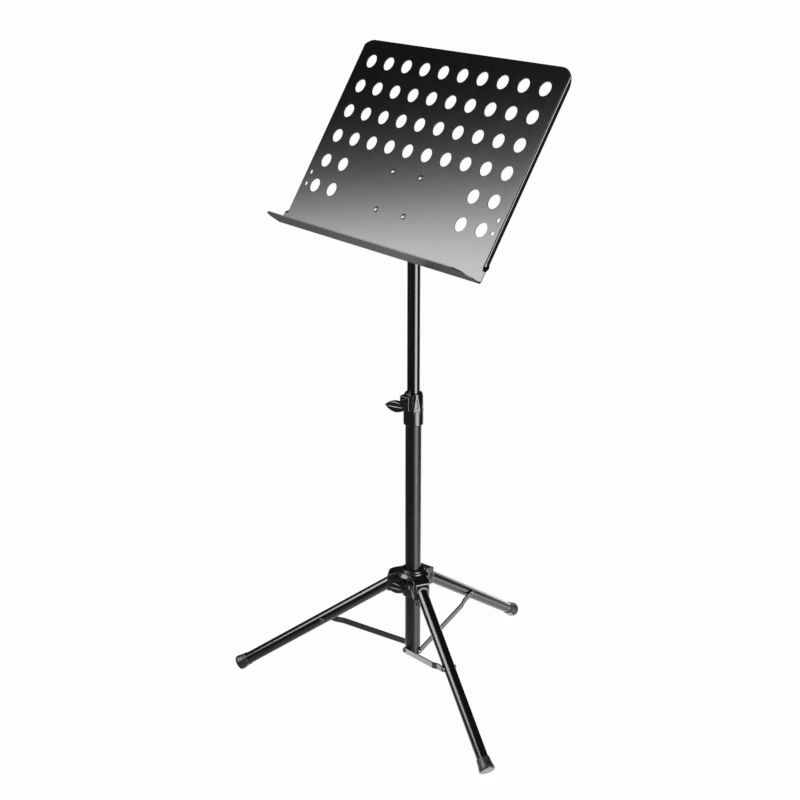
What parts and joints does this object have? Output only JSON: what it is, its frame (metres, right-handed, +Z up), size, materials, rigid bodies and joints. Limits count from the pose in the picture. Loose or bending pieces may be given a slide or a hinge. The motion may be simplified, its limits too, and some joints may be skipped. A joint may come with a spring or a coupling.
{
  "type": "music stand",
  "caption": "Folding orchestra music stand: a perforated tilting desk with a ledge on a telescoping column, over a tripod whose legs fold up against the column with a sliding hub.",
  "frame": {"origin": "on the floor under the middle of the whole stand's box", "axes": "+Z up the column, the desk faces -Y, and +X runs across the desk, to the right for a reader who stands in front of it"},
  "size_m": [0.5506, 0.5304, 1.0759],
  "materials": {
    "powder_coat": "smooth satin black powder coat on sheet steel, with broad soft reflections",
    "satin_coat": "duller satin black coat on the lower tube",
    "tube_coat": "semi-gloss black coat on steel tube",
    "black_plastic": "moulded black nylon, slightly glossy",
    "black_rubber": "matte black rubber",
    "black_steel": "blackened steel screws and rivets",
    "brass": "plain turned brass"
  },
  "bodies": {
    "base": {"lower_tube": "satin_coat", "tube_plug": "black_plastic", "clutch_collar": "black_plastic", "clutch_bush": "black_plastic", "strut_screw_1": "black_steel", "strut_screw_2": "black_steel", "strut_screw_3": "black_steel"},
    "clutch_knob": {"clutch_wing": "black_plastic", "clutch_screw": "black_steel", "clutch_pad": "brass"},
    "guide": {"mast_guide": "black_plastic"},
    "mast": {"upper_tube": "tube_coat", "tilt_head": "powder_coat", "tilt_washer_left": "black_plastic", "tilt_washer_right": "black_plastic"},
    "desk": {"desk_panel": "powder_coat", "desk_bracket": "powder_coat", "bracket_rivet_1": "black_steel", "bracket_rivet_2": "black_steel", "bracket_rivet_3": "black_steel", "bracket_rivet_4": "black_steel", "tilt_bolt": "black_steel"},
    "tilt_knob": {"tilt_wing": "black_plastic"},
    "hub": {"tripod_hub": "black_plastic", "leg_bolt_1": "black_steel", "leg_bolt_2": "black_steel", "leg_bolt_3": "black_steel", "leg_nut_1": "black_steel", "leg_nut_2": "black_steel", "leg_nut_3": "black_steel"},
    "hub_knob": {"hub_wing": "black_plastic", "hub_screw": "black_steel", "hub_pad": "brass"},
    "leg_1": {"leg_tube_1": "tube_coat", "foot_1": "black_rubber", "leg_rivet_1": "black_steel"},
    "strut_1": {"strut_1": "powder_coat", "strut_rivet_1": "black_steel"},
    "leg_2": {"leg_tube_2": "tube_coat", "foot_2": "black_rubber", "leg_rivet_2": "black_steel"},
    "strut_2": {"strut_2": "powder_coat", "strut_rivet_2": "black_steel"},
    "leg_3": {"leg_tube_3": "tube_coat", "foot_3": "black_rubber", "leg_rivet_3": "black_steel"},
    "strut_3": {"strut_3": "powder_coat", "strut_rivet_3": "black_steel"}
  },
  "joints": [
    {"name": "height_slide", "type": "slide", "parent": "base", "child": "guide", "axis": [0, 0, 1], "range_m": [-0.2, 0.16]},
    {"name": "mast_swivel", "type": "hinge", "parent": "guide", "child": "mast", "pos_m": [-0.0283, -0.04542, 0.5], "axis": [0, 0, 1], "continuous": true},
    {"name": "desk_tilt", "type": "hinge", "parent": "mast", "child": "desk", "pos_m": [-0.0283, -0.04543, 0.85132], "axis": [1, 0, 0], "range_deg": [-57, 30]},
    {"name": "tilt_screw", "type": "hinge", "parent": "desk", "child": "tilt_knob", "pos_m": [-0.0029, -0.04543, 0.85132], "axis": [1, 0, 0], "continuous": true},
    {"name": "clutch_screw_turn", "type": "hinge", "parent": "base", "child": "clutch_knob", "pos_m": [-0.0283, -0.04542, 0.5277], "axis": [0.2147, -0.9767, 0], "continuous": true},
    {"name": "hub_slide", "type": "slide", "parent": "base", "child": "hub", "axis": [0, 0, 1], "range_m": [0, 0.178]},
    {"name": "hub_screw_turn", "type": "hinge", "parent": "hub", "child": "hub_knob", "pos_m": [-0.0283, -0.04542, 0.2014], "axis": [0.2147, -0.9767, 0], "continuous": true},
    {"name": "leg_fold_1", "type": "hinge", "parent": "hub", "child": "leg_1", "pos_m": [0.0041, -0.0557, 0.196], "axis": [0.3024, 0.9532, 0], "range_deg": [0, 53]},
    {"name": "strut_swing_1", "type": "hinge", "parent": "base", "child": "strut_1", "pos_m": [-0.0283, -0.04542, 0.0647], "axis": [-0.3024, -0.9532, 0], "range_deg": [0, 59]},
    {"name": "leg_fold_2", "type": "hinge", "parent": "hub", "child": "leg_2", "pos_m": [-0.0356, -0.01222, 0.196], "axis": [-0.9767, -0.2147, 0], "range_deg": [0, 53]},
    {"name": "strut_swing_2", "type": "hinge", "parent": "base", "child": "strut_2", "pos_m": [-0.0283, -0.04542, 0.0647], "axis": [0.9767, 0.2147, 0], "range_deg": [0, 59]},
    {"name": "leg_fold_3", "type": "hinge", "parent": "hub", "child": "leg_3", "pos_m": [-0.05341, -0.06835, 0.196], "axis": [0.6743, -0.7385, 0], "range_deg": [0, 53]},
    {"name": "strut_swing_3", "type": "hinge", "parent": "base", "child": "strut_3", "pos_m": [-0.0283, -0.04542, 0.0647], "axis": [-0.6743, 0.7385, 0], "range_deg": [0, 59]}
  ],
  "couplings": [
    {"joint": "leg_fold_1", "follows": "hub_slide", "rad_per_m": 5.1083},
    {"joint": "strut_swing_1", "follows": "hub_slide", "rad_per_m": 5.6552},
    {"joint": "leg_fold_2", "follows": "hub_slide", "rad_per_m": 5.1083},
    {"joint": "strut_swing_2", "follows": "hub_slide", "rad_per_m": 5.6552},
    {"joint": "leg_fold_3", "follows": "hub_slide", "rad_per_m": 5.1083},
    {"joint": "strut_swing_3", "follows": "hub_slide", "rad_per_m": 5.6552}
  ]
}
